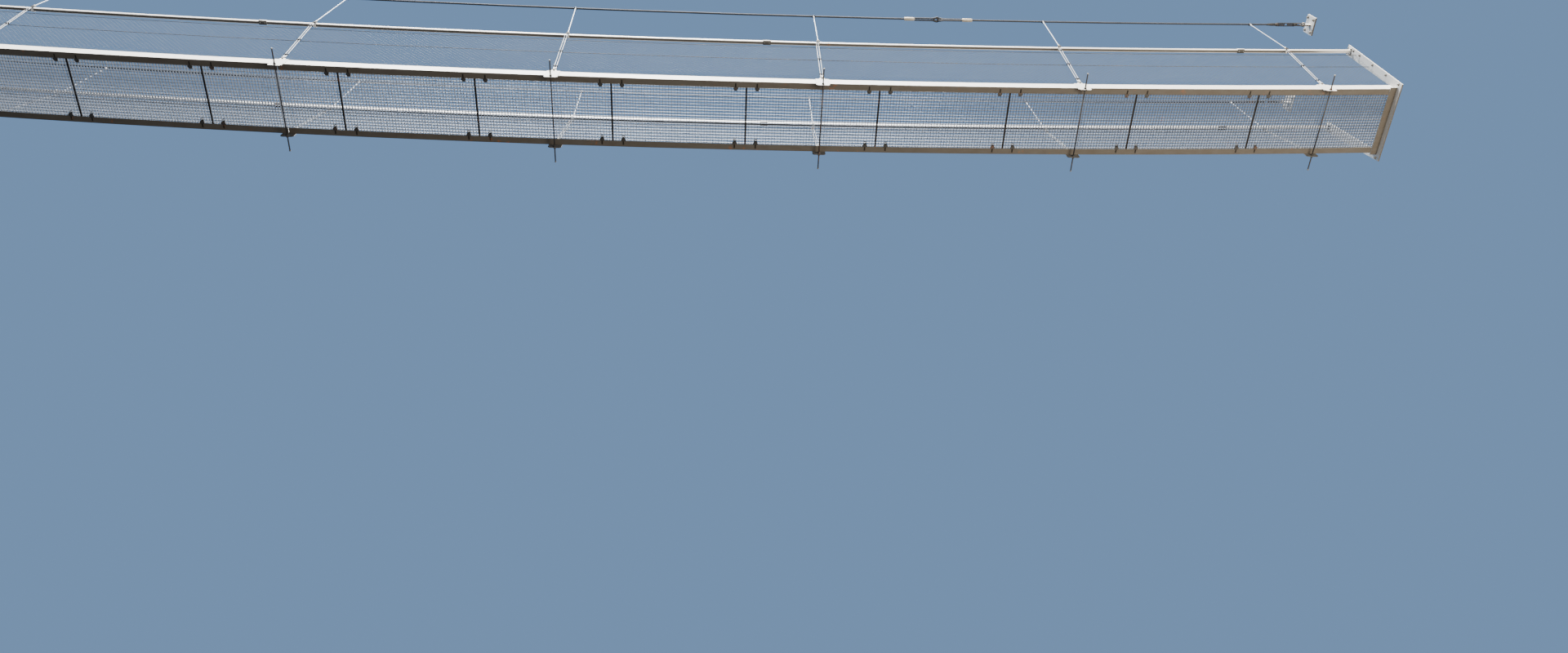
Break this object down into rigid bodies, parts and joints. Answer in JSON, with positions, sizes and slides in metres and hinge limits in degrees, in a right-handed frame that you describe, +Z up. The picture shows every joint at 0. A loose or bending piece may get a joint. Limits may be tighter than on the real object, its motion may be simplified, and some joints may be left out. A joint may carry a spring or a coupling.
{
  "type": "suspension footbridge",
  "caption": "Narrow suspension footbridge: sagging steel grating deck between edge beams, hung by ropes from two cables, with tube handrails and wire netting.",
  "frame": {"origin": "middle of the left end frame's foot, on its flat back face against the rock", "axes": "+X along the bridge to the right end, +Y to the far side, +Z up"},
  "size_m": [19.8, 1.336, 3.3807],
  "materials": {
    "beam_zinc": "galvanised, weathered",
    "rail_zinc": "galvanised tube",
    "plate_zinc": "galvanised, dull",
    "grating_zinc": "galvanised, dark",
    "cable_rope": "stranded, dark",
    "hanger_rope": "stranded, bright",
    "net_wire": "zinc coated wire"
  },
  "bodies": {
    "root": {"edge_beam_near_1": "beam_zinc", "edge_beam_near_2": "beam_zinc", "edge_beam_near_3": "beam_zinc", "edge_beam_far_1": "beam_zinc", "edge_beam_far_2": "beam_zinc", "edge_beam_far_3": "beam_zinc", "deck_grating_1": "grating_zinc", "deck_grating_2": "grating_zinc", "deck_grating_3": "grating_zinc", "deck_grating_4": "grating_zinc", "deck_grating_5": "grating_zinc", "deck_grating_6": "grating_zinc", "deck_grating_7": "grating_zinc", "hanger_frame_1": "plate_zinc", "hanger_frame_2": "plate_zinc", "hanger_frame_3": "plate_zinc", "hanger_frame_4": "plate_zinc", "hanger_frame_5": "plate_zinc", "hanger_frame_6": "plate_zinc", "hanger_frame_7": "plate_zinc", "hanger_near_1": "hanger_rope", "hanger_near_2": "hanger_rope", "hanger_near_3": "hanger_rope", "hanger_near_4": "hanger_rope", "hanger_near_5": "hanger_rope", "hanger_near_6": "hanger_rope", "hanger_near_7": "hanger_rope", "hanger_far_1": "hanger_rope", "hanger_far_2": "hanger_rope", "hanger_far_3": "hanger_rope", "hanger_far_4": "hanger_rope", "hanger_far_5": "hanger_rope", "hanger_far_6": "hanger_rope", "hanger_far_7": "hanger_rope", "handrail_near": "rail_zinc", "handrail_far": "rail_zinc", "main_cable_near": "cable_rope", "main_cable_far": "cable_rope", "netting_near_1": "net_wire", "netting_near_2": "net_wire", "netting_near_3": "net_wire", "netting_near_4": "net_wire", "netting_near_5": "net_wire", "netting_far_1": "net_wire", "netting_far_2": "net_wire", "netting_far_3": "net_wire", "netting_far_4": "net_wire", "netting_far_5": "net_wire", "end_frame_left": "plate_zinc", "end_frame_right": "plate_zinc", "cable_anchor_near_left": "plate_zinc", "cable_anchor_near_right": "plate_zinc", "cable_anchor_far_left": "plate_zinc", "cable_anchor_far_right": "plate_zinc"}
  },
  "joints": []
}
